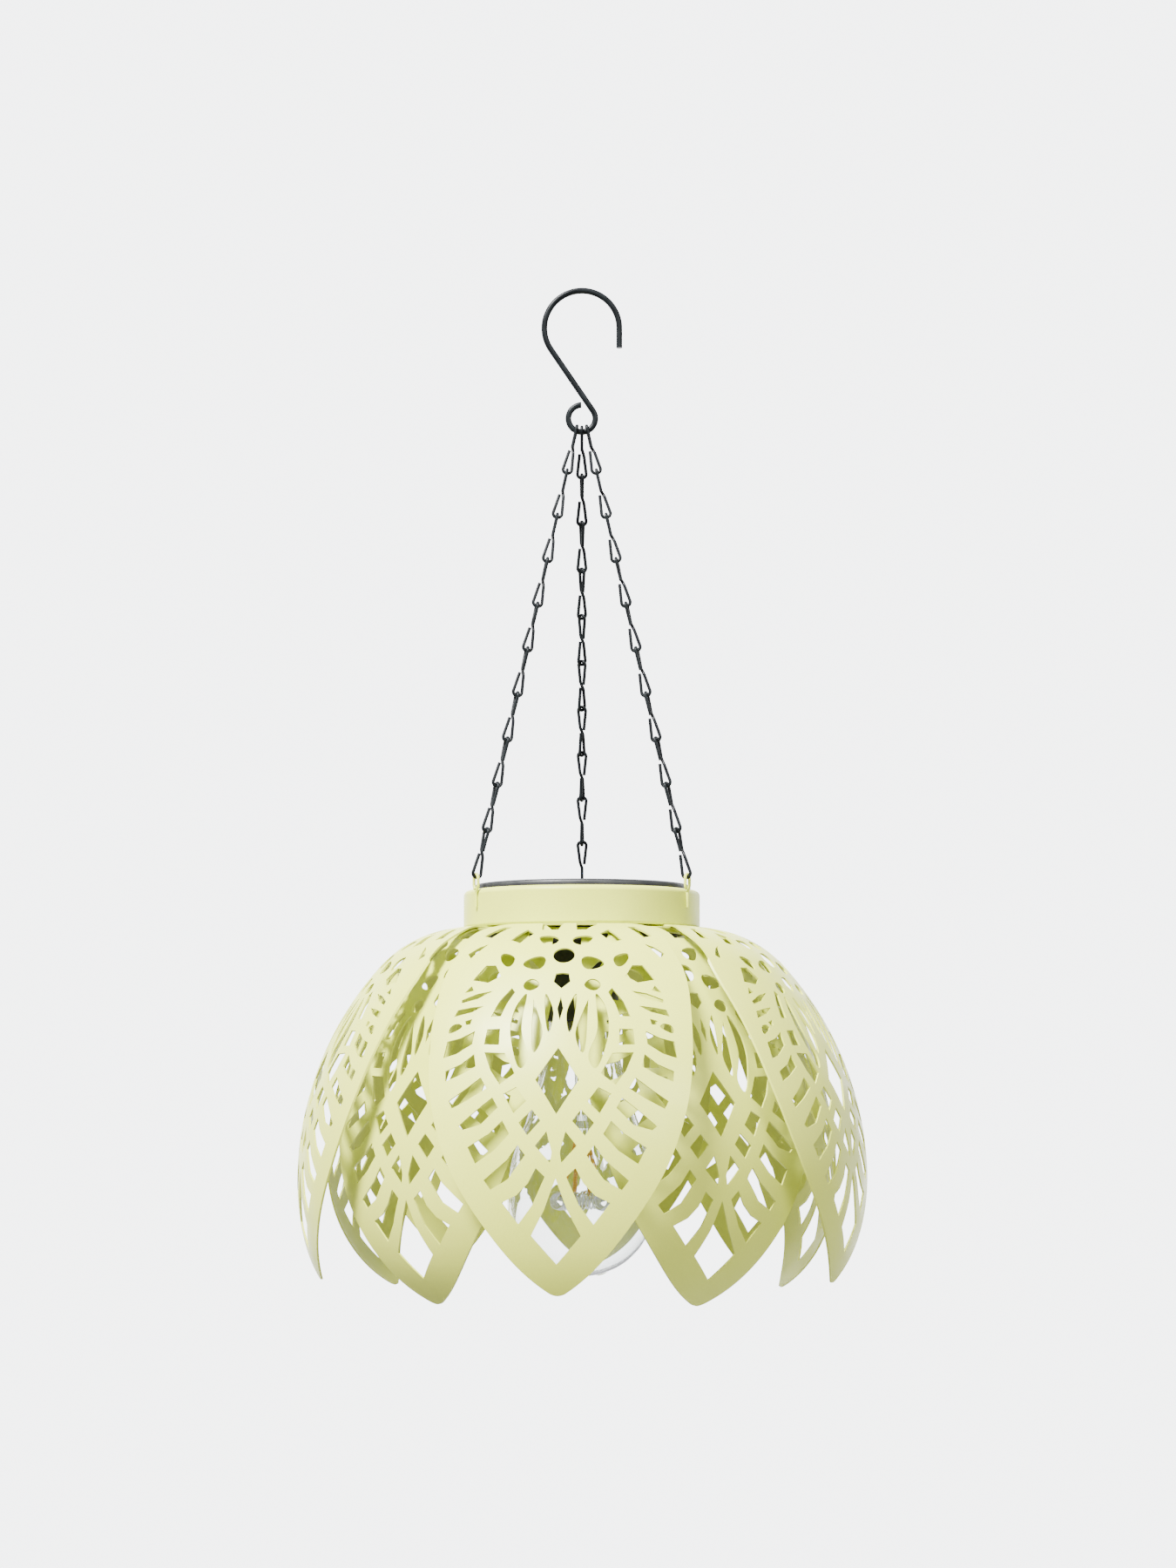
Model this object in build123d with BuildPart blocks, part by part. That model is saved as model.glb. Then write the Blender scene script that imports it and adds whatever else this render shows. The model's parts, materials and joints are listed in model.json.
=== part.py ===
from build123d import *
import math
import os

# Hanging solar lantern with a lotus shade of ten lace-cut sheet-metal petals.
# The origin is where a rod carries the hook, at the inside of its bow. +Z is up, -Y is the front.

# ---------------------------------------------------------------- driving dimensions (mm)
HOOK_WIRE_R = 1.3
HOOK_BOW_R = 16.4                 # centreline radius of the open bow
HOOK_BOW_Z = HOOK_WIRE_R - HOOK_BOW_R
HOOK_LEG = 8.6                    # straight end of the bow
HOOK_EYE_R = 5.9                  # centreline radius of the closed eye
HOOK_EYE_Z = HOOK_BOW_Z - 39.5
HOOK_EYE_END = 92                 # polar angle where the eye closes on the shank

LINKS = 10                        # links in each of the three chains
LINK_WIRE_R = 0.7
LINK_HALF = 2.15                  # half the width of a link's loop, on the wire's centreline
LINK_WAIST = 0.95
LINK_GAP = 1.2                    # open gap where the wire's two ends meet
LINK_PLAY = 0.1                   # clearance between wires that hook into each other
CHAINS = {"left": (-150, -115, 120), "right": (-30, -65, 60), "back": (90, -90, 180)}

SHEET = 0.8                       # painted steel sheet
COLLAR_Z = -278.0                 # underside of the collar
COLLAR_R = 51.6
COLLAR_H = 16.3
LIP_R = 49.0                      # inner edge of the collar's rolled top
FLANGE_R = 44.2                   # opening in the collar's bottom flange
EYE_WIRE_R = 0.65
EYE_HALF = 1.9                    # half width of a chain eye
EYE_TOP = 22.2                    # chain eye's crown above the collar's underside
EYE_FOOT = 8.0

PETALS = 5                        # in each of two layers
FRONT_ANGLE = -94.7               # polar angle of the front outer petal
PETAL_SHIFT = 15.0                # the petals are flatter than the lamp's own circle
LAND_IN, LAND_OUT = 44.5, 50.5    # flat root that is riveted under the collar
OUTER_BENDS = ((50, 48), (140, 94), (85, 116.6))    # (radius, slope where the bend ends)
INNER_BENDS = ((32, 50), (150, 90), (75, 131.6))
LAYER_DROP = SHEET + 0.1          # the inner layer lies under the outer one
RIVET_R, RIVET_CIRCLE, RIVET_ANGLE = 1.2, 47.3, 18
RING_T = 1.2                      # clamping ring under the petals

HEAD_R, HEAD_TOP = 47.6, 19.0     # solar head's rim
RIM_Z = 11.8                      # underside of the rim
BODY_R, BODY_WALL = 41.7, 1.5
BASE_Z, BASE_T = -6.0, 2.4
LUG_R, LUG_Z, LUG_T, LUG_ANGLE = 47.3, 8.6, 1.6, 20
SEAT_Z, SEAT_T, SEAT_IN, SEAT_OUT = 11.4, 0.8, 45.2, 50.3
TWIST = 30                        # bayonet turn from locked to free
CELL, CELL_POCKET = 56.0, 58.0
HOLDER_R, HOLDER_BOTTOM = 16.0, -40.5
BULB_MOUTH_Z, BULB_LOW_Z, BULB_R, GLASS = -36.0, -152.0, 32.5, 1.0
NECK_R = 14.4
STEM_END, FILAMENT_END, FILAMENT_R = -90.0, -123.0, 0.9
CELL_R, CELL_L = 7.1, 50.0        # AA size rechargeable cell
CELL_Y, CELL_Z = 23.6, 4.1
BOARD_Y, BOARD_Z, BOARD_T = -22.0, 2.0, 1.6
SWITCH_Y, SWITCH_TRAVEL, SWITCH_BODY = -24.0, 3.0, 3.4
SCREW_CIRCLE = 36.5

os.makedirs("parts", exist_ok=True)


def save(part, name):
    """Label a finished piece and write its STEP file."""
    part.label = name
    export_step(part, f"parts/{name}.step")


def at_height(z):
    """Horizontal plane, measured from the collar's underside."""
    return Plane.XY.offset(COLLAR_Z + z)


def polar(radius, angle, z=0.0):
    """Point from polar values in degrees."""
    a = math.radians(angle)
    return Vector(radius * math.cos(a), radius * math.sin(a), z)


def section(*points):
    """Closed half section in the XZ plane, from (radius, height above the collar's underside)."""
    with BuildSketch(Plane.XZ) as half:
        with BuildLine():
            Polyline(*[(r, COLLAR_Z + z) for r, z in points], close=True)
        make_face()
    return half.sketch


# ---------------------------------------------------------------- hook
shank = math.degrees(math.asin((HOOK_BOW_R + HOOK_EYE_R) / (HOOK_BOW_Z - HOOK_EYE_Z)))
with BuildPart() as hook:
    with BuildLine(Plane.XZ) as bow:
        leg = Line((HOOK_BOW_R, HOOK_BOW_Z - HOOK_LEG), (HOOK_BOW_R, HOOK_BOW_Z))
        CenterArc((0, HOOK_BOW_Z), HOOK_BOW_R, 0, 180 + shank)
        left = polar(HOOK_BOW_R, 180 + shank)
        right = polar(HOOK_EYE_R, shank)
        Line((left.X, HOOK_BOW_Z + left.Y), (right.X, HOOK_EYE_Z + right.Y))
        CenterArc((0, HOOK_EYE_Z), HOOK_EYE_R, shank, HOOK_EYE_END - 360 - shank)
    with BuildSketch(Plane(origin=leg @ 0, z_dir=leg % 0)):
        Circle(HOOK_WIRE_R)
    sweep(path=bow.wires()[0])
save(hook.part, "hook")


# ---------------------------------------------------------------- chains
def link_solid(length):
    """One jack-chain link hanging from its top bend: two loops at right angles, from one wire."""
    half, waist = LINK_HALF, LINK_WAIST
    mid = -length / 2
    with BuildPart() as link:
        with BuildLine() as wire:
            FilletPolyline(
                (0, -waist, mid + LINK_GAP / 2),
                (0, -half, 0),
                (0, half, 0),
                (0, waist, mid + 1.6),
                (waist, 0, mid - 1.6),
                (half, 0, -length),
                (-half, 0, -length),
                (-waist, 0, mid - LINK_GAP / 2),
                radius=[1.8, 1.8, 3, 3, 1.8, 1.8],
            )
        with BuildSketch(Plane(origin=wire.line @ 0, z_dir=wire.line % 0)):
            Circle(LINK_WIRE_R)
        sweep(path=wire.wires()[0])
    return link.part


hooked = 2 * LINK_WIRE_R + LINK_PLAY      # how far two hooked bends overlap
for side, (angle, eye_angle, turn) in CHAINS.items():
    ring_point = polar(HOOK_EYE_R, eye_angle)
    ring_point = Vector(ring_point.X, 0, HOOK_EYE_Z + ring_point.Y)
    last = polar(COLLAR_R + EYE_WIRE_R, angle, COLLAR_Z + EYE_TOP - LINK_WIRE_R - EYE_WIRE_R - LINK_PLAY)
    down = (last - ring_point).normalized()
    top = ring_point - down * (HOOK_WIRE_R + LINK_WIRE_R + LINK_PLAY)
    link_length = ((last - top).length + (LINKS - 1) * hooked) / LINKS
    link = link_solid(link_length)
    for number in range(LINKS):
        bend = top + down * number * (link_length - hooked)
        facing = 90 + (turn - 90) * number / (LINKS - 1)
        across = polar(1, facing - 90)
        across = (across - down * across.dot(down)).normalized()
        with BuildPart() as placed:
            with Locations(Plane(origin=bend, x_dir=across, z_dir=-down)):
                add(link)
        save(placed.part, f"chain_{side}_link_{number + 1:02d}")


# ---------------------------------------------------------------- collar and its chain eyes
with BuildPart() as collar:
    middle = COLLAR_R - SHEET / 2
    crown = COLLAR_Z + COLLAR_H - SHEET / 2
    foot = COLLAR_Z + SHEET / 2
    with BuildSketch(Plane.XZ):
        with BuildLine() as bent:
            FilletPolyline((FLANGE_R, foot), (middle, foot), (middle, crown), (LIP_R, crown),
                           radius=[0.8, 1.8])
        trace(line_width=SHEET)
    revolve(axis=Axis.Z)
    with BuildSketch(at_height(0)):
        with PolarLocations(RIVET_CIRCLE, 2 * PETALS, start_angle=FRONT_ANGLE + RIVET_ANGLE):
            Circle(RIVET_R + 0.1)
    extrude(amount=SHEET, mode=Mode.SUBTRACT)
save(collar.part, "collar")

with BuildPart() as chain_eyes:
    for angle, _, _ in CHAINS.values():
        outward = polar(1, angle)
        face = Plane(origin=polar(COLLAR_R + EYE_WIRE_R, angle, COLLAR_Z), z_dir=outward,
                     x_dir=polar(1, angle + 90))
        with BuildLine(face) as loop:
            FilletPolyline((0, EYE_FOOT), (0, EYE_TOP - 8), (EYE_HALF, EYE_TOP - 5), (EYE_HALF, EYE_TOP),
                           (-EYE_HALF, EYE_TOP), (-EYE_HALF, EYE_TOP - 5), (-0.9, EYE_TOP - 6.4),
                           radius=[3, 2, 1.8, 1.8, 2])
        with BuildSketch(Plane(origin=loop.line @ 0, z_dir=loop.line % 0)):
            Circle(EYE_WIRE_R)
        sweep(path=loop.wires()[0])
save(chain_eyes.part, "chain_eyes")


# ---------------------------------------------------------------- petals
# The lace and the outline are set out on the flat sheet: u to one side of the middle line,
# s along it from the root. Every window below is cut again on the other side of that line.
EDGE = ((21, 4), (26, 12), (37, 24), (42, 35), (47, 46), (51.5, 58), (53.8, 74), (54.8, 95),
        (52, 119), (43, 143), (28.5, 165), (12.5, 184))
LENGTH = 193.0
TIP_R, TIP_SLOPE = 6.0, 36.0        # rounded tip, and the slope of the edge that runs into it
HANDOVER = 4                      # edge points up to this one are cut in plan, the rest from the front
PETAL_ARC = 80
WIDE = 100.0
ROUND_WINDOWS = (
    ((2.8, 35.5), (6, 32), (11, 32.8), (9.5, 37), (6.6, 39)),
    ((7.5, 50.6), (8.7, 46.5), (12.6, 46.8), (16.5, 50.6), (11.8, 53.5)),
    ((20.2, 48.5), (22.6, 45.2), (26.3, 44.6), (25, 50.2), (21.8, 52)),
    ((9.9, 60), (15, 60), (15.7, 62.2), (13.5, 64.5), (10.3, 63.6)),
    ((6.3, 66.3), (6.2, 74.5), (3.8, 84.2), (2.7, 79), (3.3, 72.5)),
    ((11.6, 69), (11.2, 79), (8.8, 93), (6.8, 88), (8.6, 77)),
    ((16.4, 67.2), (19.6, 75), (20.1, 82.5), (18.4, 91), (13.4, 99.8), (12, 97.5), (15.4, 82.5)),
    ((41, 81.2), (43.6, 80.5), (45.8, 81.8), (46.1, 84.6), (43, 83.8)),
)
STRAIGHT_WINDOWS = (
    ((3, 12), (12, 12), (10.2, 25.2), (3.2, 25.2)),
    ((14, 29.5), (18, 25), (22.5, 35), (18, 37.5)),
    ((26, 21), (29.5, 21), (34, 31.5), (30, 33)),
    ((34, 38), (37.5, 40.4), (41, 44.4), (38.8, 47)),
    ((25.3, 57), (29, 51.2), (33.3, 51.2), (37.2, 59), (30, 60.5)),
    ((19.5, 65.4), (21.2, 63.2), (25.4, 70), (27.7, 77.2), (23.5, 77), (22, 71.3)),
    ((24.5, 82.8), (29.9, 83), (30.3, 89.8), (23.9, 90)),
    ((22, 93.6), (30.6, 93.2), (27.2, 101), (22.8, 107), (17.1, 102.2)),
    ((38.4, 62), (40.6, 65.6), (36.7, 64.5)),
    ((28.8, 64.6), (35, 66), (41.5, 69), (41.3, 70.6), (34.5, 68.6)),
    ((32, 72), (37.6, 72.8), (43.2, 74), (44.2, 77.2), (36.5, 75)),
    ((36.6, 78.2), (39.6, 79.2), (38.8, 81), (37, 80.8)),
    ((35.7, 83.8), (41.3, 87), (47, 88.5), (47.4, 95.8), (41.8, 94), (35.7, 89.6)),
    ((35.3, 94), (40.3, 98.4), (46.8, 101.4), (46.2, 105.8), (39.8, 103), (33.8, 99.3)),
    ((31.8, 104), (38.3, 109.3), (44.6, 113.8), (42.9, 117), (35.5, 113), (28.9, 108.5)),
    ((26.5, 112.3), (32.5, 117.3), (40, 124), (38, 125.6), (30.5, 123.4), (23.9, 116.4)),
    ((22, 121.7), (27, 126.8), (35.9, 132.5), (32.5, 139), (24.5, 133.5), (18.8, 127)),
    ((15.4, 131.4), (19.5, 137.3), (29, 145.5), (26.2, 149.2), (19, 145), (12.3, 135.4)),
    ((7.9, 140.5), (11, 146.5), (15.5, 151.2), (21.6, 154.3), (15, 162.8), (9.2, 155), (4.3, 144)),
    ((16.6, 108), (21.6, 110.8), (17, 118.7), (12.2, 113.8)),
    ((9.8, 117.2), (15, 122.5), (11.4, 127.6), (6.3, 121.7)),
    ((3.8, 126), (8.3, 131.7), (2.2, 138.4), (1.6, 134.2)),
)
MIDDLE_WINDOWS = (
    ((0, 55.4), (2.6, 55.8), (3.4, 60), (0, 63.6), (-3.4, 60), (-2.6, 55.8)),
    ((0, 67.5), (1.2, 73.3), (0, 79), (-1.2, 73.3)),
    ((0, 91.3), (8.7, 104.8), (0, 119), (-8.7, 104.8)),
    ((0, 144.6), (4.6, 157), (9.9, 167.5), (0, 179), (-9.9, 167.5), (-4.6, 157)),
)
CENTRE_HOLE_S, CENTRE_HOLE_R = 45.6, 4.4
CUT_DEPTH = 4.0


def both_sides(windows):
    """The windows and their mirror images across the petal's middle line."""
    return (*windows, *[tuple((-u, s) for u, s in window) for window in windows])


def petal_frame(u, s, bends, drop):
    """Point and tangent plane of a petal's outer face; the petal points along -Y."""
    slope, radius, z = 0.0, LAND_IN, COLLAR_Z - drop
    run = min(s, LAND_OUT - LAND_IN)
    radius += run
    left_over = s - run
    for bend_r, end in bends:
        step = min(left_over / bend_r, math.radians(end) - slope)
        radius += bend_r * (math.sin(slope + step) - math.sin(slope))
        z -= bend_r * (math.cos(slope) - math.cos(slope + step))
        slope += step
        left_over -= bend_r * step
    around = u / (radius + PETAL_SHIFT)
    out = Vector(math.sin(around), -math.cos(around), 0)
    point = out * (radius + PETAL_SHIFT) + Vector(0, PETAL_SHIFT, z)
    normal = out * math.sin(slope) + Vector(0, 0, math.cos(slope))
    side = Vector(math.cos(around), math.sin(around), 0)
    return Plane(origin=point, x_dir=side, z_dir=normal)


def windows_cut(outline, smooth, bends, drop):
    """Prism through the sheet at one window, square to the sheet there."""
    u_mid = sum(u for u, _ in outline) / len(outline)
    s_mid = sum(s for _, s in outline) / len(outline)
    local = [(u - u_mid, s_mid - s) for u, s in outline]
    with BuildPart() as prism:
        with BuildSketch(petal_frame(u_mid, s_mid, bends, drop)):
            with BuildLine():
                if smooth:
                    Spline(*local, periodic=True)
                else:
                    Polyline(*local, close=True)
            make_face()
        extrude(amount=CUT_DEPTH, both=True)
    return prism.part


def petal_solid(bends, drop):
    """A lace-cut petal of bent sheet."""
    top_z = COLLAR_Z - drop
    right = [petal_frame(u, s, bends, drop).origin for u, s in EDGE]
    tip = petal_frame(0, LENGTH, bends, drop).origin
    slope = math.radians(TIP_SLOPE)
    bend_ends = [LAND_OUT - LAND_IN + bends[0][0] * math.radians(bends[0][1])]
    for (_, before), (bend_r, end) in zip(bends, bends[1:]):
        length = bend_r * math.radians(end - before)
        bend_ends += [bend_ends[-1] + length / 2, bend_ends[-1] + length]
    spine = [petal_frame(0, s, bends, drop) for s in bend_ends[1:]]
    lower, upper = right[HANDOVER:], right[:HANDOVER + 1]
    cuts = [windows_cut(w, True, bends, drop) for w in both_sides(ROUND_WINDOWS)]
    cuts += [windows_cut(w, False, bends, drop) for w in both_sides(STRAIGHT_WINDOWS)]
    cuts += [windows_cut(w, False, bends, drop) for w in MIDDLE_WINDOWS]

    with BuildPart() as petal:
        start = -90 - PETAL_ARC / 2
        with BuildSketch(Plane(origin=(0, PETAL_SHIFT, 0), x_dir=polar(1, start),
                               z_dir=polar(1, start - 90))):
            with BuildLine():
                faces = []
                for inset in (0, SHEET):
                    land = Line((LAND_IN + PETAL_SHIFT, top_z - inset),
                                (LAND_OUT + PETAL_SHIFT, top_z - inset))
                    crown = JernArc(land @ 1, land % 1, bends[0][0] - inset, -bends[0][1])
                    on_face = [plane.origin - plane.z_dir * inset for plane in spine]
                    blade = Spline(crown @ 1, *[(PETAL_SHIFT - p.Y, p.Z) for p in on_face],
                                   tangents=(crown % 1, polar(1, -bends[-1][1])))
                    faces.append((land, blade))
                (upper_land, upper_blade), (under_land, under_blade) = faces
                Line(upper_land @ 0, under_land @ 0)
                Line(upper_blade @ 1, under_blade @ 1)
            make_face()
        revolve(axis=Axis((0, PETAL_SHIFT, 0), (0, 0, 1)), revolution_arc=PETAL_ARC)

        with BuildSketch(Plane.XZ):                      # waste beside the blade, seen from the front
            with BuildLine():
                blade = Spline(*[(p.X, p.Z) for p in lower],
                               (TIP_R * math.sin(slope), tip.Z + TIP_R * (1 - math.cos(slope))))
                TangentArc(blade @ 1, (0, tip.Z), tangent=blade % 1)
                Polyline((0, tip.Z), (0, tip.Z - WIDE), (WIDE, tip.Z - WIDE), (WIDE, lower[0].Z), blade @ 0)
            make_face()
            mirror(about=Plane.YZ)
        extrude(amount=2 * WIDE, both=True, mode=Mode.SUBTRACT)

        with BuildSketch(at_height(0)):                  # waste beside the root, seen from above
            with BuildLine():
                root = Spline(*[(p.X, p.Y) for p in upper])
                Polyline(root @ 1, (WIDE, upper[-1].Y), (WIDE, 0), (upper[0].X, 0), root @ 0)
            make_face()
            mirror(about=Plane.YZ)
        extrude(amount=WIDE, both=True, mode=Mode.SUBTRACT)

        centre_hole = petal_frame(0, CENTRE_HOLE_S, bends, drop)
        with BuildSketch(centre_hole):
            Circle(CENTRE_HOLE_R)
        extrude(amount=CUT_DEPTH, both=True, mode=Mode.SUBTRACT)
        with Locations(*[polar(RIVET_CIRCLE, -90 + side * RIVET_ANGLE, top_z) for side in (-1, 1)]):
            Cylinder(RIVET_R + 0.1, 4 * SHEET, mode=Mode.SUBTRACT)
        add(cuts, mode=Mode.SUBTRACT)
    return petal.part


for layer, bends, drop, offset_angle in (("outer", OUTER_BENDS, 0.0, 0.0),
                                         ("inner", INNER_BENDS, LAYER_DROP, 180 / PETALS)):
    petal = petal_solid(bends, drop)
    for number in range(PETALS):
        with BuildPart() as placed:
            with Locations(Rotation(0, 0, FRONT_ANGLE + 90 + offset_angle + number * 360 / PETALS)):
                add(petal)
        save(placed.part, f"{layer}_petal_{number + 1}")


# ---------------------------------------------------------------- petal fastening
ring_top = -LAYER_DROP - SHEET
with BuildPart() as petal_ring:
    with BuildSketch(at_height(ring_top - RING_T)):
        Circle(LAND_OUT - 0.5)
        Circle(FLANGE_R, mode=Mode.SUBTRACT)
        with PolarLocations(RIVET_CIRCLE, 2 * PETALS, start_angle=FRONT_ANGLE + RIVET_ANGLE):
            Circle(RIVET_R + 0.1, mode=Mode.SUBTRACT)
    extrude(amount=RING_T)
save(petal_ring.part, "petal_ring")

rivet_foot = ring_top - RING_T
with BuildPart() as petal_rivets:
    with PolarLocations(RIVET_CIRCLE, 2 * PETALS, start_angle=FRONT_ANGLE + RIVET_ANGLE):
        with Locations((0, 0, COLLAR_Z + rivet_foot)):
            Cylinder(RIVET_R, SHEET - rivet_foot, align=(Align.CENTER, Align.CENTER, Align.MIN))
        with Locations((0, 0, COLLAR_Z + SHEET)):
            Cone(1.9, 1.1, 0.9, align=(Align.CENTER, Align.CENTER, Align.MIN))
        with Locations((0, 0, COLLAR_Z + rivet_foot)):
            Cone(1.0, 1.9, 0.8, align=(Align.CENTER, Align.CENTER, Align.MAX))
save(petal_rivets.part, "petal_rivets")


# ---------------------------------------------------------------- bayonet seat of the solar head
def sector(inner, outer, start, width):
    """Ring sector about the origin, from polar angles in degrees."""
    with BuildSketch() as piece:
        with BuildLine():
            near = CenterArc((0, 0), inner, start, width)
            far = CenterArc((0, 0), outer, start, width)
            Line(near @ 0, far @ 0)
            Line(near @ 1, far @ 1)
        make_face()
    return piece.sketch


with BuildPart() as head_seat:
    add(section((SEAT_IN, SEAT_Z - SEAT_T), (SEAT_OUT - SEAT_T, SEAT_Z - SEAT_T), (SEAT_OUT - SEAT_T, SHEET),
                (SEAT_OUT, SHEET), (SEAT_OUT, SEAT_Z), (SEAT_IN, SEAT_Z)))
    revolve(axis=Axis.Z)
    with BuildSketch(at_height(SEAT_Z)):
        for turn in range(0, 360, 120):
            add(sector(SEAT_IN - 1, LUG_R + 1, turn - TWIST - LUG_ANGLE / 2 - 2, LUG_ANGLE + 4))
    extrude(amount=-2 * SEAT_T, mode=Mode.SUBTRACT)
    with BuildSketch(at_height(SEAT_Z - SEAT_T)):
        for turn in range(0, 360, 120):
            add(sector(SEAT_IN + 0.6, SEAT_OUT - SEAT_T, turn + LUG_ANGLE / 2 + 1.5, 4))
            add(sector(SEAT_IN + 0.6, SEAT_OUT - SEAT_T, turn - TWIST - LUG_ANGLE / 2 - 5.5, 4))
    extrude(amount=-3.2)
save(head_seat.part, "head_seat")


# ---------------------------------------------------------------- solar head
inner_r = BODY_R - BODY_WALL
deck = HEAD_TOP - 3.6
with BuildPart() as head_housing:
    add(section((0, deck), (inner_r, deck), (inner_r, BASE_Z + BASE_T), (BODY_R, BASE_Z + BASE_T),
                (BODY_R, RIM_Z), (HEAD_R, RIM_Z), (HEAD_R, HEAD_TOP), (0, HEAD_TOP)))
    revolve(axis=Axis.Z)
    fillet(head_housing.edges().filter_by(GeomType.CIRCLE).group_by(Axis.Z)[-1], 1.6)
    with BuildSketch(at_height(HEAD_TOP)):
        RectangleRounded(CELL_POCKET, CELL_POCKET, 2)
    extrude(amount=-2.0, mode=Mode.SUBTRACT)
    with BuildSketch(at_height(LUG_Z)):
        for turn in range(0, 360, 120):
            add(sector(BODY_R - 0.5, LUG_R, turn - LUG_ANGLE / 2, LUG_ANGLE))
    extrude(amount=LUG_T)
    with BuildSketch(at_height(BASE_Z + BASE_T)):
        with PolarLocations(SCREW_CIRCLE, 3, start_angle=-30):
            Circle(2.6)
    extrude(until=Until.NEXT)
    with BuildSketch(at_height(BOARD_Z + BOARD_T)):
        with Locations((-12, BOARD_Y + 4), (12, BOARD_Y + 4)):
            Circle(2)
    extrude(until=Until.NEXT)
    with BuildSketch(at_height(BASE_Z + BASE_T)):
        with PolarLocations(SCREW_CIRCLE, 3, start_angle=-30):
            Circle(1.1)
    extrude(amount=8, mode=Mode.SUBTRACT)
save(head_housing.part, "head_housing")

with BuildPart() as solar_cell:
    with BuildSketch(at_height(HEAD_TOP - 1.9)):
        Rectangle(CELL, CELL)
    extrude(amount=1.1)
save(solar_cell.part, "solar_cell")

with BuildPart() as cell_window:
    with BuildSketch(at_height(HEAD_TOP - 0.7)):
        RectangleRounded(CELL_POCKET - 0.4, CELL_POCKET - 0.4, 1.8)
    extrude(amount=0.7)
    chamfer(cell_window.edges().group_by(Axis.Z)[-1], 0.3)
save(cell_window.part, "cell_window")

with BuildPart() as head_base:
    with BuildSketch(at_height(BASE_Z)):
        Circle(BODY_R)
        Circle(9, mode=Mode.SUBTRACT)
        with Locations((0, CELL_Y)):
            Rectangle(CELL_L + 2.4, 2 * CELL_R + 0.6, mode=Mode.SUBTRACT)
        with Locations((0, SWITCH_Y)):
            Rectangle(4.4 + SWITCH_TRAVEL, 3.8, mode=Mode.SUBTRACT)
        with PolarLocations(SCREW_CIRCLE, 3, start_angle=-30):
            Circle(1.5, mode=Mode.SUBTRACT)
    extrude(amount=BASE_T)
save(head_base.part, "head_base")

with BuildPart() as battery_door:
    with BuildSketch(at_height(BASE_Z)):
        with Locations((0, CELL_Y)):
            Rectangle(CELL_L + 2, 2 * CELL_R + 0.2)
    extrude(amount=1.8)
    with BuildSketch(at_height(BASE_Z)):
        with Locations((0, CELL_Y)):
            with GridLocations(4, 0, 6, 1):
                Rectangle(1.6, 8)
    extrude(amount=0.5, mode=Mode.SUBTRACT)
save(battery_door.part, "battery_door")

with BuildPart() as base_screws:
    with Locations(at_height(BASE_Z)):
        with PolarLocations(SCREW_CIRCLE, 3, start_angle=-30):
            Cylinder(1.0, 9, align=(Align.CENTER, Align.CENTER, Align.MIN))
            Cylinder(2.4, 1.2, align=(Align.CENTER, Align.CENTER, Align.MAX))
    with BuildSketch(at_height(BASE_Z - 1.2)):
        with PolarLocations(SCREW_CIRCLE, 3, start_angle=-30):
            Rectangle(3.2, 0.6)
            Rectangle(0.6, 3.2)
    extrude(amount=0.6, mode=Mode.SUBTRACT)
save(base_screws.part, "base_screws")

with BuildPart() as battery:
    with BuildSketch(Plane.YZ.offset(-CELL_L / 2 + 0.3)):
        with Locations((CELL_Y, COLLAR_Z + CELL_Z)):
            Circle(CELL_R)
    extrude(amount=CELL_L - 1.6)
    with BuildSketch(Plane.YZ.offset(CELL_L / 2 - 1.3)):
        with Locations((CELL_Y, COLLAR_Z + CELL_Z)):
            Circle(2.7)
    extrude(amount=1.0)
    fillet(battery.edges().filter_by(GeomType.CIRCLE).sort_by(SortBy.RADIUS)[-2:], 0.5)
save(battery.part, "battery")

with BuildPart() as battery_contacts:
    for end in (-1, 1):
        with Locations((end * (CELL_L / 2 + 0.1), CELL_Y, COLLAR_Z + BASE_Z + BASE_T)):
            Box(0.4, 8, 12, align=(Align.CENTER, Align.CENTER, Align.MIN))
save(battery_contacts.part, "battery_contacts")

with BuildPart() as circuit_board:
    with BuildSketch(at_height(BOARD_Z)):
        with Locations((0, BOARD_Y)):
            Rectangle(32, 16)
    extrude(amount=BOARD_T)
    with BuildSketch(at_height(BOARD_Z + BOARD_T)):      # driver chip, coil and capacitor
        with Locations((-4, BOARD_Y - 1)):
            Rectangle(5, 4)
        with Locations((4, BOARD_Y)):
            Circle(2.6)
        with Locations((11, BOARD_Y - 4)):
            Rectangle(3, 2)
    extrude(amount=3)
    with BuildSketch(at_height(BOARD_Z)):                # switch body under the board
        with Locations((0, SWITCH_Y)):
            Rectangle(10, 5)
    extrude(amount=-SWITCH_BODY)
    with BuildSketch(at_height(BOARD_Z - SWITCH_BODY)):
        with Locations((0, SWITCH_Y)):
            Rectangle(4.2 + SWITCH_TRAVEL, 3)
    extrude(amount=2.4, mode=Mode.SUBTRACT)
save(circuit_board.part, "circuit_board")

with BuildPart() as switch_slider:
    slider_x = -SWITCH_TRAVEL / 2
    with BuildSketch(at_height(0.6)):
        with Locations((slider_x, SWITCH_Y)):
            Rectangle(3.6, 2.4)
    extrude(amount=BASE_Z - 2.2)
    with BuildSketch(Plane.XZ.offset(-SWITCH_Y + 2)):
        with GridLocations(0.9, 0, 3, 1):
            with Locations((slider_x, COLLAR_Z + BASE_Z - 1.6)):
                Rectangle(0.3, 0.5)
    extrude(amount=-4, mode=Mode.SUBTRACT)
save(switch_slider.part, "switch_slider")


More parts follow.
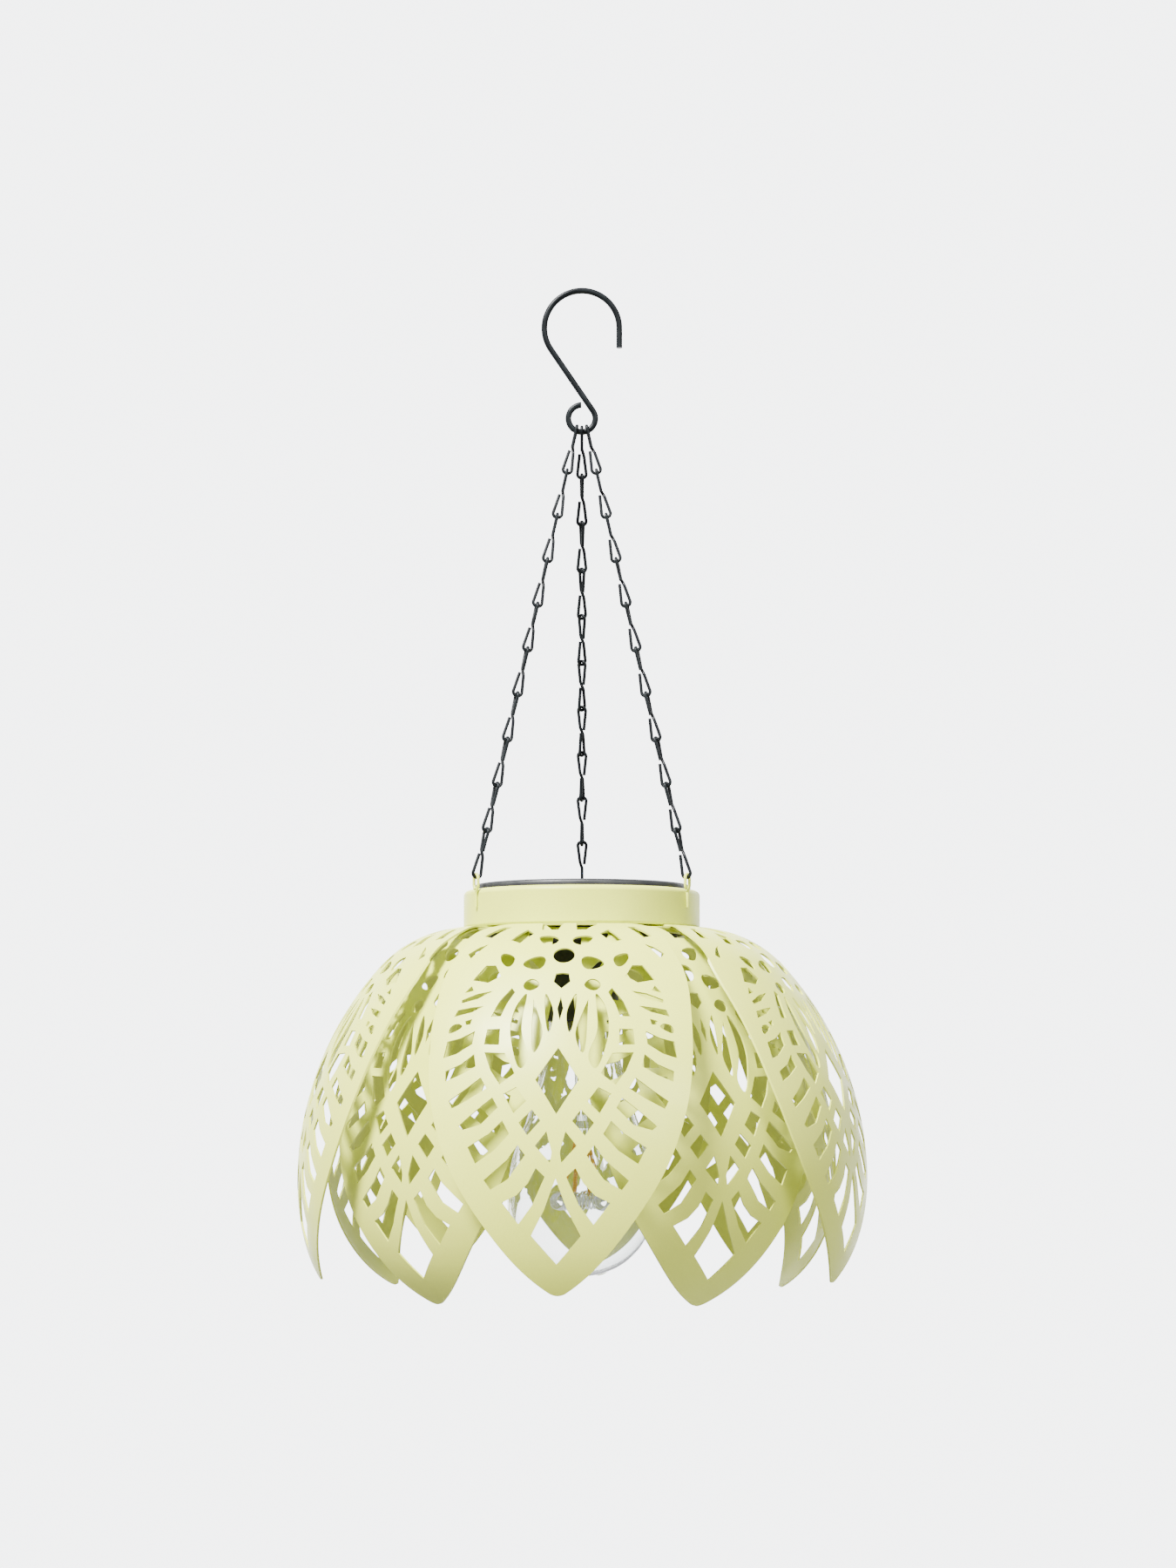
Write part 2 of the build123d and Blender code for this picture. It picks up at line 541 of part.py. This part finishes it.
# ---------------------------------------------------------------- lamp
with BuildPart() as lamp_holder:
    add(section((9.2, BASE_Z), (HOLDER_R - 0.6, BASE_Z), (HOLDER_R, BASE_Z - 0.6),
                (HOLDER_R, HOLDER_BOTTOM + 0.6), (HOLDER_R - 0.6, HOLDER_BOTTOM),
                (NECK_R, HOLDER_BOTTOM), (NECK_R, -34), (9.2, -34)))
    revolve(axis=Axis.Z)
    groove = at_height(HOLDER_BOTTOM + 8)
    with BuildSketch(groove):
        Circle(HOLDER_R + 1)
        Circle(HOLDER_R - 0.5, mode=Mode.SUBTRACT)
    extrude(amount=1.0, mode=Mode.SUBTRACT)
save(lamp_holder.part, "lamp_holder")

with BuildPart() as bulb:
    belly_z = COLLAR_Z + BULB_LOW_Z + BULB_R
    mouth_z = COLLAR_Z + BULB_MOUTH_Z
    with BuildSketch(Plane.XZ):
        for wall, mode in ((0, Mode.ADD), (GLASS, Mode.SUBTRACT)):
            with BuildLine():
                Polyline((0, belly_z - BULB_R + wall), (0, mouth_z), (NECK_R - wall, mouth_z),
                         (NECK_R - wall, COLLAR_Z + HOLDER_BOTTOM))
                Spline((NECK_R - wall, COLLAR_Z + HOLDER_BOTTOM), (17.0 - wall, COLLAR_Z - 58),
                       (24.5 - wall, COLLAR_Z - 84), (BULB_R - wall, belly_z), tangents=((0, -1), (0, -1)))
                CenterArc((0, belly_z), BULB_R - wall, 0, -90)
            make_face(mode=mode)
    revolve(axis=Axis.Z)
save(bulb.part, "bulb")

with BuildPart() as filament_stem:
    add(section((0, BASE_Z + BASE_T), (8.8, BASE_Z + BASE_T), (8.8, BASE_Z), (9.0, -33), (5.5, -50),
                (3.2, -62), (2.4, -84), (3.4, -88), (3.4, STEM_END), (0, STEM_END)))
    revolve(axis=Axis.Z)
save(filament_stem.part, "filament_stem")

with BuildPart() as filaments:
    for number in range(4):
        angle = 45 + 90 * number
        top = polar(2.4, angle, COLLAR_Z + STEM_END - 0.3)
        low = polar(10.0, angle + 25, COLLAR_Z + FILAMENT_END)
        with BuildLine() as rod:
            Line(top, low)
        with BuildSketch(Plane(origin=top, z_dir=low - top)):
            Circle(FILAMENT_R)
        sweep(path=rod.wires()[0])
save(filaments.part, "filaments")
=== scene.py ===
import json
import math

import bpy
from mathutils import Matrix, Vector


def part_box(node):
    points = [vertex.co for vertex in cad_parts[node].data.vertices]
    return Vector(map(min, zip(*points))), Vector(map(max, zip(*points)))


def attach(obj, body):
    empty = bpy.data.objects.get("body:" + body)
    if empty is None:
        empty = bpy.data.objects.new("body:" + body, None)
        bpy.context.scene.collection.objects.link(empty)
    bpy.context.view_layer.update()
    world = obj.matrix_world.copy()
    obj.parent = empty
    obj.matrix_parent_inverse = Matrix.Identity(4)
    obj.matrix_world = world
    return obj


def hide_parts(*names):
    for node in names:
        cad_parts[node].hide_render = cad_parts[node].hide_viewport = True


# Hanging solar lantern. The hook, chains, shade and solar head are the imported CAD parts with
# detailed materials; the filaments, caps and springs inside the bulb are modelled here.

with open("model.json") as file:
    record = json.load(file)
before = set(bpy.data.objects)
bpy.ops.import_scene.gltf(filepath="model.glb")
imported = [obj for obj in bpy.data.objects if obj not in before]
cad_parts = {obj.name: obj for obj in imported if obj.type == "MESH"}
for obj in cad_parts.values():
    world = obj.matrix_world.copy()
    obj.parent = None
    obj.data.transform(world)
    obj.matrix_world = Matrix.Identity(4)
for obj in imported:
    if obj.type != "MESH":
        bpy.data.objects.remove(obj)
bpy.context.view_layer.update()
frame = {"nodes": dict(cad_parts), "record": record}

# ---------------------------------------------------------------- sizes (m)
FILAMENT_R = 0.0009
FILAMENT_CHIPS = 26               # chip bands along each filament
FILAMENTS, SPLAY = 4, 25          # how many, and how far each foot turns from its top (degrees)
CAP_R, CAP_LENGTH = 0.0011, 0.0022
COIL_R, COIL_PITCH, COIL_TURNS = 0.0042, 0.0016, 5
COIL_WIRE_R = 0.0005
COIL_STEPS = 8                    # curve points in each turn of a spring
TOP_REACH, FOOT_REACH = 0.0024, 0.0100   # filament ends from the bulb's axis
FLOOR_Z, FLOOR_R = -1.6, 5.4
SKY, SKY_BEHIND = 0.70, 5.5       # brightness around the lantern and behind it
FADE = (0.60, 0.915)              # where the sky brightens, as the cosine of the angle from +Y


# ---------------------------------------------------------------- camera, stage and light
def add_camera():
    """Level camera at the height of the shade's lower half, with a rising lens."""
    data = bpy.data.cameras.new("camera")
    data.lens = 64
    data.sensor_width = 36
    data.shift_y = 0.1806
    camera = bpy.data.objects.new("camera", data)
    camera.location = (0.0027, -1.22, -0.3385)
    camera.rotation_euler = (math.radians(90), 0, 0)
    bpy.context.scene.collection.objects.link(camera)
    bpy.context.scene.camera = camera


def add_area_light(name, place, target, size, power, spread, colour=(1, 1, 1)):
    data = bpy.data.lights.new(name, "AREA")
    data.shape = "DISK"
    data.size = size
    data.energy = power
    data.spread = math.radians(spread)
    data.color = colour
    light = bpy.data.objects.new(name, data)
    light.location = place
    light.rotation_euler = (Vector(target) - Vector(place)).to_track_quat("-Z", "Y").to_euler()
    bpy.context.scene.collection.objects.link(light)


def add_stage():
    """A round pale floor well below the lantern, and a pale sky that is brightest behind it."""
    sides = 96
    turns = [2 * math.pi * side / sides for side in range(sides)]
    points = [(FLOOR_R * math.cos(turn), FLOOR_R * math.sin(turn), FLOOR_Z) for turn in turns]
    mesh = bpy.data.meshes.new("floor")
    mesh.from_pydata(points, [], [tuple(range(sides))])
    floor = bpy.data.objects.new("floor", mesh)
    bpy.context.scene.collection.objects.link(floor)
    material, tree, shader = new_material("floor")
    colour_from_noise(tree, shader, (0.66, 0.665, 0.67), (0.70, 0.705, 0.71), scale=3)
    shader.inputs["Roughness"].default_value = 0.9
    mesh.materials.append(material)

    world = bpy.data.worlds.new("sky")
    world.use_nodes = True
    tree = world.node_tree
    sky = tree.nodes["Background"]
    sky.inputs["Color"].default_value = (0.97, 0.985, 1.0, 1)
    axes = tree.nodes.new("ShaderNodeSeparateXYZ")
    tree.links.new(tree.nodes.new("ShaderNodeTexCoord").outputs["Generated"], axes.inputs[0])
    glow = tree.nodes.new("ShaderNodeMapRange")
    glow.interpolation_type = "SMOOTHSTEP"
    glow.inputs["From Min"].default_value = FADE[0]
    glow.inputs["From Max"].default_value = FADE[1]
    glow.inputs["To Min"].default_value = SKY
    glow.inputs["To Max"].default_value = SKY_BEHIND
    tree.links.new(axes.outputs["Y"], glow.inputs["Value"])
    tree.links.new(glow.outputs["Result"], sky.inputs["Strength"])
    bpy.context.scene.world = world


# ---------------------------------------------------------------- material helpers
def new_material(name):
    """A node material: (material, node tree, principled shader)."""
    material = bpy.data.materials.new(name)
    material.use_nodes = True
    tree = material.node_tree
    return material, tree, tree.nodes["Principled BSDF"]


def coordinates(tree):
    """The object's own coordinates, in metres."""
    return tree.nodes.new("ShaderNodeTexCoord").outputs["Object"]


def noise(tree, scale, detail=4.0, roughness=0.5):
    node = tree.nodes.new("ShaderNodeTexNoise")
    node.inputs["Scale"].default_value = scale
    node.inputs["Detail"].default_value = detail
    node.inputs["Roughness"].default_value = roughness
    tree.links.new(coordinates(tree), node.inputs["Vector"])
    return node.outputs["Fac"]


def ramp(tree, value, low, high, start=0.35, end=0.65):
    """Colour ramp from low to high as value goes from start to end."""
    node = tree.nodes.new("ShaderNodeValToRGB")
    for element, place, colour in zip(node.color_ramp.elements, (start, end), (low, high)):
        element.position = place
        element.color = (*colour, 1)
    tree.links.new(value, node.inputs["Fac"])
    return node.outputs["Color"]


def spread(tree, value, low, high):
    """Value mapped from 0.35..0.65 to low..high."""
    node = tree.nodes.new("ShaderNodeMapRange")
    node.inputs["From Min"].default_value = 0.35
    node.inputs["From Max"].default_value = 0.65
    node.inputs["To Min"].default_value = low
    node.inputs["To Max"].default_value = high
    tree.links.new(value, node.inputs["Value"])
    return node.outputs["Result"]


def maths(tree, operation, first, second=None):
    """Math node; each operand is a socket or a number."""
    node = tree.nodes.new("ShaderNodeMath")
    node.operation = operation
    for socket, operand in zip(node.inputs, (first, second)):
        if isinstance(operand, (int, float)):
            socket.default_value = operand
        elif operand is not None:
            tree.links.new(operand, socket)
    return node.outputs[0]


def mix_colour(tree, factor, first, second):
    node = tree.nodes.new("ShaderNodeMix")
    node.data_type = "RGBA"
    tree.links.new(factor, node.inputs["Factor"])
    for socket, colour in ((node.inputs["A"], first), (node.inputs["B"], second)):
        if isinstance(colour, tuple):
            socket.default_value = (*colour, 1)
        else:
            tree.links.new(colour, socket)
    return node.outputs["Result"]


def colour_from_noise(tree, shader, low, high, scale, detail=4.0):
    tree.links.new(ramp(tree, noise(tree, scale, detail), low, high), shader.inputs["Base Color"])


def roughness_from_noise(tree, shader, low, high, scale):
    tree.links.new(spread(tree, noise(tree, scale), low, high), shader.inputs["Roughness"])


def bump_from(tree, shader, height, strength, distance):
    node = tree.nodes.new("ShaderNodeBump")
    node.inputs["Strength"].default_value = strength
    node.inputs["Distance"].default_value = distance
    tree.links.new(height, node.inputs["Height"])
    tree.links.new(node.outputs["Normal"], shader.inputs["Normal"])


# ---------------------------------------------------------------- materials
def powder_coat():
    """Pale citron powder coat: soft sheen, fine orange peel, slight cloudiness."""
    material, tree, shader = new_material("citron_powder_coat")
    cloud = ramp(tree, noise(tree, 14, 3), (0.590, 0.635, 0.082), (0.640, 0.685, 0.108))
    grain = ramp(tree, noise(tree, 2600, 2), (0.93, 0.93, 0.90), (1.0, 1.0, 1.0))
    both = tree.nodes.new("ShaderNodeMix")
    both.data_type = "RGBA"
    both.blend_type = "MULTIPLY"
    both.inputs["Factor"].default_value = 1.0
    tree.links.new(cloud, both.inputs["A"])
    tree.links.new(grain, both.inputs["B"])
    tree.links.new(both.outputs["Result"], shader.inputs["Base Color"])
    roughness_from_noise(tree, shader, 0.36, 0.50, 60)
    bump_from(tree, shader, noise(tree, 850, 2), 0.10, 0.0002)
    shader.inputs["Specular IOR Level"].default_value = 0.32
    shader.inputs["Coat Weight"].default_value = 0.06
    shader.inputs["Coat Roughness"].default_value = 0.3
    return material


def wire_paint():
    """Satin black paint on wire, slightly uneven."""
    material, tree, shader = new_material("black_wire_paint")
    colour_from_noise(tree, shader, (0.003, 0.004, 0.0045), (0.008, 0.010, 0.011), 160, 3)
    roughness_from_noise(tree, shader, 0.30, 0.42, 240)
    bump_from(tree, shader, noise(tree, 1400, 2), 0.04, 0.0001)
    shader.inputs["Specular IOR Level"].default_value = 0.10
    return material


def moulded_plastic(name, low, high, roughness):
    """Fine spark-eroded grain."""
    material, tree, shader = new_material(name)
    colour_from_noise(tree, shader, low, high, 120)
    roughness_from_noise(tree, shader, roughness - 0.06, roughness + 0.08, 200)
    bump_from(tree, shader, noise(tree, 2400, 3, 0.7), 0.25, 0.00012)
    return material


def turned_metal(name, low, high, roughness, metallic=1.0):
    """Plated or bare metal with fine scratches."""
    material, tree, shader = new_material(name)
    colour_from_noise(tree, shader, low, high, 300)
    roughness_from_noise(tree, shader, roughness - 0.08, roughness + 0.1, 700)
    bump_from(tree, shader, noise(tree, 2200, 5, 0.7), 0.12, 0.0001)
    shader.inputs["Metallic"].default_value = metallic
    return material


def clear_glass(name, roughness, ripple, tint):
    """Blown or pressed glass, with faint waviness."""
    material, tree, shader = new_material(name)
    colour_from_noise(tree, shader, tint, (1.0, 1.0, 1.0), 25)
    roughness_from_noise(tree, shader, 0.0, roughness, 90)
    bump_from(tree, shader, noise(tree, 70, 1), ripple, 0.0006)
    shader.inputs["Transmission Weight"].default_value = 1.0
    shader.inputs["IOR"].default_value = 1.46
    return material


def silicon_cell():
    """Blue polycrystalline silicon under silver fingers and two busbars."""
    finger_pitch, finger_share = 0.0022, 0.10
    busbar_pitch, busbar_share = 0.028, 0.055
    material, tree, shader = new_material("silicon_cell")
    crystals = tree.nodes.new("ShaderNodeTexVoronoi")
    crystals.inputs["Scale"].default_value = 210
    tree.links.new(coordinates(tree), crystals.inputs["Vector"])
    silicon = ramp(tree, crystals.outputs["Color"], (0.006, 0.011, 0.045), (0.022, 0.040, 0.130), 0.1, 0.9)
    axes = tree.nodes.new("ShaderNodeSeparateXYZ")
    tree.links.new(coordinates(tree), axes.inputs[0])
    lines = []
    for axis, pitch, share in (("Y", finger_pitch, finger_share), ("X", busbar_pitch, busbar_share)):
        turns = maths(tree, "ADD", maths(tree, "DIVIDE", axes.outputs[axis], pitch), 100.5)
        lines.append(maths(tree, "LESS_THAN", maths(tree, "FRACT", turns), share))
    silver = maths(tree, "MAXIMUM", *lines)
    tree.links.new(mix_colour(tree, silver, silicon, (0.55, 0.57, 0.60)), shader.inputs["Base Color"])
    tree.links.new(maths(tree, "MULTIPLY", silver, 0.7), shader.inputs["Metallic"])
    roughness_from_noise(tree, shader, 0.22, 0.34, 300)
    return material


def phosphor(length):
    """Amber silicone over a row of small chips along the piece's own Z."""
    material, tree, shader = new_material("amber_phosphor")
    along = tree.nodes.new("ShaderNodeSeparateXYZ")
    tree.links.new(coordinates(tree), along.inputs[0])
    waves = FILAMENT_CHIPS * 2 * math.pi / length
    chips = maths(tree, "SINE", maths(tree, "MULTIPLY", along.outputs["Z"], waves))
    amber = ramp(tree, chips, (0.86, 0.36, 0.035), (0.98, 0.56, 0.10), 0.0, 1.0)
    tree.links.new(amber, shader.inputs["Base Color"])
    bump_from(tree, shader, noise(tree, 1500), 0.2, 0.0001)
    roughness_from_noise(tree, shader, 0.3, 0.45, 400)
    return material


def solder_resist():
    """Green board with paler tracks."""
    material, tree, shader = new_material("solder_resist")
    tracks = tree.nodes.new("ShaderNodeTexBrick")
    tracks.inputs["Scale"].default_value = 160
    tracks.inputs["Mortar Size"].default_value = 0.06
    tracks.inputs["Color1"].default_value = (0.020, 0.115, 0.050, 1)
    tracks.inputs["Color2"].default_value = (0.025, 0.130, 0.055, 1)
    tracks.inputs["Mortar"].default_value = (0.060, 0.230, 0.090, 1)
    tree.links.new(coordinates(tree), tracks.inputs["Vector"])
    tree.links.new(tracks.outputs["Color"], shader.inputs["Base Color"])
    roughness_from_noise(tree, shader, 0.3, 0.42, 250)
    return material


def cell_sleeve():
    """Plain green shrink sleeve with a silver band at the button end."""
    material, tree, shader = new_material("cell_sleeve")
    axes = tree.nodes.new("ShaderNodeSeparateXYZ")
    tree.links.new(coordinates(tree), axes.inputs[0])
    end = maths(tree, "GREATER_THAN", axes.outputs["X"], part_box("battery")[1][0] - 0.010)
    sleeve = ramp(tree, noise(tree, 150), (0.045, 0.200, 0.085), (0.060, 0.250, 0.110))
    tree.links.new(mix_colour(tree, end, sleeve, (0.55, 0.56, 0.57)), shader.inputs["Base Color"])
    roughness_from_noise(tree, shader, 0.24, 0.36, 200)
    bump_from(tree, shader, noise(tree, 260, 2), 0.1, 0.0002)
    return material


# ---------------------------------------------------------------- pieces inside the bulb
def add_piece(name, mesh, material, place=Matrix()):
    """A smooth new piece of the solar head, at place."""
    mesh.materials.append(material)
    mesh.polygons.foreach_set("use_smooth", [True] * len(mesh.polygons))
    piece = bpy.data.objects.new(name, mesh)
    piece.matrix_world = place
    bpy.context.scene.collection.objects.link(piece)
    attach(piece, "solar_head")
    return piece


def turned(name, profile, sides=24):
    """Mesh of (radius, z) points turned about Z; the first and last points lie on the axis."""
    points = [(0, 0, profile[0][1])]
    for radius, z in profile[1:-1]:
        for side in range(sides):
            angle = 2 * math.pi * side / sides
            points.append((radius * math.cos(angle), radius * math.sin(angle), z))
    points.append((0, 0, profile[-1][1]))
    rings = len(profile) - 2
    faces = []
    for side in range(sides):
        after = (side + 1) % sides
        faces.append((0, 1 + after, 1 + side))
        for ring in range(rings - 1):
            start = 1 + ring * sides
            faces.append((start + side, start + after, start + sides + after, start + sides + side))
        last = 1 + (rings - 1) * sides
        faces.append((last + side, last + after, len(points) - 1))
    mesh = bpy.data.meshes.new(name)
    mesh.from_pydata(points, [], faces)
    return mesh


def wire(name, points, radius):
    """Mesh of a round wire along a smooth curve through points."""
    curve = bpy.data.curves.new(name, "CURVE")
    curve.dimensions = "3D"
    curve.bevel_depth = radius
    curve.bevel_resolution = 3
    curve.use_fill_caps = True
    spline = curve.splines.new("NURBS")
    spline.points.add(len(points) - 1)
    for place, point in zip(spline.points, points):
        place.co = (*point, 1)
    spline.order_u = 3
    spline.use_endpoint_u = True
    spline.resolution_u = 4
    holder = bpy.data.objects.new(name, curve)
    bpy.context.scene.collection.objects.link(holder)
    bpy.context.view_layer.update()
    shape = holder.evaluated_get(bpy.context.evaluated_depsgraph_get())
    mesh = bpy.data.meshes.new_from_object(shape)
    bpy.data.objects.remove(holder)
    mesh.materials.clear()
    return mesh


def add_filaments():
    """LED filaments hung from the stem, each with end caps and a bright spring at its foot."""
    low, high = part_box("filaments")
    top_z, foot_z = high[2], low[2] + COIL_R
    length = math.hypot(top_z - foot_z, FOOT_REACH - TOP_REACH)
    amber = phosphor(length)
    bright = turned_metal("bright_wire", (0.86, 0.87, 0.88), (0.97, 0.97, 0.97), 0.16)
    steel = turned_metal("filament_caps", (0.55, 0.55, 0.54), (0.70, 0.70, 0.68), 0.25)
    for number in range(FILAMENTS):
        angle = math.radians(45 + 360 / FILAMENTS * number)
        turn = angle + math.radians(SPLAY)
        top = Vector((TOP_REACH * math.cos(angle), TOP_REACH * math.sin(angle), top_z))
        foot = Vector((FOOT_REACH * math.cos(turn), FOOT_REACH * math.sin(turn), foot_z))
        run = (foot - top).normalized()
        place = Matrix.Translation(top) @ run.to_track_quat("Z", "Y").to_matrix().to_4x4()
        full = (foot - top).length
        r = FILAMENT_R
        body = turned(f"filament_{number + 1}", [(0, 0), (0.7 * r, 0), (r, 0.3 * r), (r, full - 0.3 * r),
                                                 (0.7 * r, full), (0, full)])
        rod = add_piece(f"filament_{number + 1}", body, amber, place)
        if number == 0:
            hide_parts("filaments")
        for end, start in (("top", -0.0002), ("foot", full - CAP_LENGTH + 0.0002)):
            cap = turned(f"cap_{end}_{number + 1}", [(0, start), (CAP_R, start), (CAP_R, start + CAP_LENGTH),
                                                     (0, start + CAP_LENGTH)])
            add_piece(f"cap_{end}_{number + 1}", cap, steel, place)
        across = Vector((-math.sin(turn), math.cos(turn), 0))
        outward = Vector((math.cos(turn), math.sin(turn), 0))
        coil = []
        for step in range(COIL_TURNS * COIL_STEPS + 1):
            around = 2 * math.pi * step / COIL_STEPS
            along = COIL_PITCH * (step / COIL_STEPS - COIL_TURNS / 2)
            swell = COIL_R * (0.82 + 0.18 * math.cos(math.pi * along / (COIL_PITCH * COIL_TURNS)))
            coil.append(foot + across * along + outward * swell * math.sin(around)
                        + Vector((0, 0, -swell * math.cos(around))))
        add_piece(f"spring_{number + 1}", wire(f"spring_{number + 1}", coil, COIL_WIRE_R), bright)


# ---------------------------------------------------------------- finishes on the CAD parts
def finish_cad_parts():
    """Every CAD node takes the detailed material of its slot."""
    finishes = {
        "black_wire": wire_paint(),
        "citron_paint": powder_coat(),
        "rivet_metal": turned_metal("rivet_metal", (0.60, 0.60, 0.56), (0.70, 0.70, 0.67), 0.35),
        "seat_steel": turned_metal("seat_steel", (0.42, 0.42, 0.43), (0.52, 0.52, 0.52), 0.35),
        "black_plastic": moulded_plastic("black_plastic", (0.009, 0.010, 0.011), (0.016, 0.017, 0.018), 0.5),
        "solar_silicon": silicon_cell(),
        "clear_resin": clear_glass("clear_resin", 0.06, 0.05, (0.92, 0.95, 0.98)),
        "screw_steel": turned_metal("screw_steel", (0.50, 0.50, 0.50), (0.62, 0.62, 0.60), 0.3),
        "battery_wrap": cell_sleeve(),
        "contact_nickel": turned_metal("contact_nickel", (0.60, 0.58, 0.52), (0.70, 0.68, 0.62), 0.3),
        "board_green": solder_resist(),
        "bulb_glass": clear_glass("bulb_glass", 0.02, 0.12, (0.900, 0.925, 0.925)),
        "stem_glass": clear_glass("stem_glass", 0.05, 0.15, (0.93, 0.95, 0.94)),
        "switch_plastic": moulded_plastic("switch_plastic", (0.028, 0.028, 0.030), (0.040, 0.040, 0.043),
                                          0.45),
    }
    slots = {part["node"]: part["material_slot"] for part in frame["record"]["subparts"]}
    for name, node in frame["nodes"].items():
        if slots[name] in finishes:
            for holder in node.material_slots:
                holder.material = finishes[slots[name]]


add_camera()
add_stage()
add_area_light("key", (-0.80, -1.00, 1.30), (0, 0, -0.3), 0.7, 19, 45)
add_area_light("fill", (0.95, -1.50, 0.60), (0, 0, -0.35), 0.9, 4, 60, (0.97, 0.99, 1.0))
finish_cad_parts()
add_filaments()
